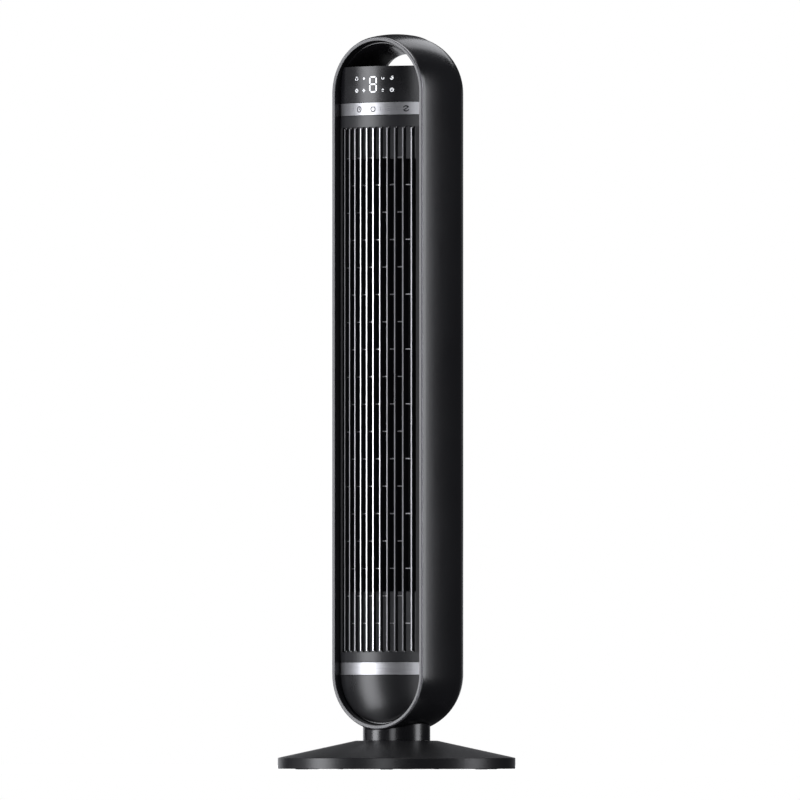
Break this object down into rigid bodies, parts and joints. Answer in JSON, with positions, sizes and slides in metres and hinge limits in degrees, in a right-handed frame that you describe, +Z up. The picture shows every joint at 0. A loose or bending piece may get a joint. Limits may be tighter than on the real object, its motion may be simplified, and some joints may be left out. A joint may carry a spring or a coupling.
{
  "type": "tower fan",
  "caption": "Slim round-ended tower fan with a bowed slatted front, touch display and carrying handle, swinging on a low conical base.",
  "frame": {"origin": "on the floor, at the centre of the base and on the axis that the tower swings about", "axes": "+Z up, -Y the way the air leaves, +X to the left of someone standing behind the fan and looking at its back"},
  "size_m": [0.297, 0.297, 0.9197],
  "materials": {
    "housing": "satin black moulded plastic",
    "base_black": "fine textured satin black plastic",
    "inner_black": "plain black moulded plastic",
    "grille_black": "black plastic, satin",
    "gloss_black": "gloss black display window",
    "silver_band": "brushed silver finish band",
    "dome_black": "satin gloss black",
    "rubber": "black rubber",
    "steel": "zinc plated steel",
    "iron": "cast ballast",
    "acetal": "natural acetal",
    "board": "green circuit board",
    "digit": "white LED segments",
    "copper": "copper winding",
    "bronze": "sintered bronze",
    "impeller_grey": "dark grey glass filled plastic",
    "cable": "cable sheath"
  },
  "bodies": {
    "base": {"base_cover": "base_black", "base_plate": "inner_black", "ballast_ring": "iron", "rubber_feet": "rubber", "base_screws": "steel", "swivel_hub": "inner_black", "hub_screws": "steel", "thrust_washer": "acetal", "fixed_gear": "acetal", "gear_screws": "steel", "cord_grommet": "rubber"},
    "tower": {"neck": "housing", "neck_screws": "steel", "turntable_plate": "steel", "swivel_bush": "acetal", "front_housing": "housing", "rear_casing": "housing", "case_screws": "steel", "rear_grille": "inner_black", "front_grille": "grille_black", "display_lens": "gloss_black", "control_housing": "inner_black", "display_board": "board", "digit_module": "digit", "touch_strip": "silver_band", "touch_springs": "bronze", "lower_trim": "silver_band", "lower_cover": "dome_black", "chassis_plate": "inner_black", "chassis_screws": "steel", "oscillation_motor": "steel", "oscillation_screws": "steel", "main_board": "board", "board_standoffs": "acetal", "duct_scroll": "inner_black", "duct_tongue": "inner_black", "duct_lower_plate": "inner_black", "duct_upper_plate": "inner_black", "lower_baffle": "inner_black", "upper_baffle": "inner_black", "motor_can": "steel", "motor_stator": "copper", "motor_bushes": "bronze", "motor_grommets": "rubber", "motor_screws": "steel", "top_bearing_holder": "rubber", "top_bearing_bush": "bronze", "wiring_harness": "cable"},
    "impeller": {"impeller": "impeller_grey", "impeller_hub": "rubber", "motor_shaft": "steel", "motor_rotor": "steel", "top_pin": "steel"},
    "pinion": {"drive_pinion": "acetal"}
  },
  "joints": [
    {"name": "tower_swivel", "type": "hinge", "parent": "base", "child": "tower", "pos_m": [0, 0, 0.036], "axis": [0, 0, 1], "range_deg": [-45, 45]},
    {"name": "impeller_spin", "type": "hinge", "parent": "tower", "child": "impeller", "pos_m": [0, 0.022, 0.218], "axis": [0, 0, 1], "continuous": true},
    {"name": "pinion_spin", "type": "hinge", "parent": "tower", "child": "pinion", "pos_m": [0, 0.04063, 0.064], "axis": [0, 0, 1], "range_deg": [-185, 185]}
  ],
  "couplings": [
    {"joint": "pinion_spin", "follows": "tower_swivel", "ratio": 4}
  ]
}
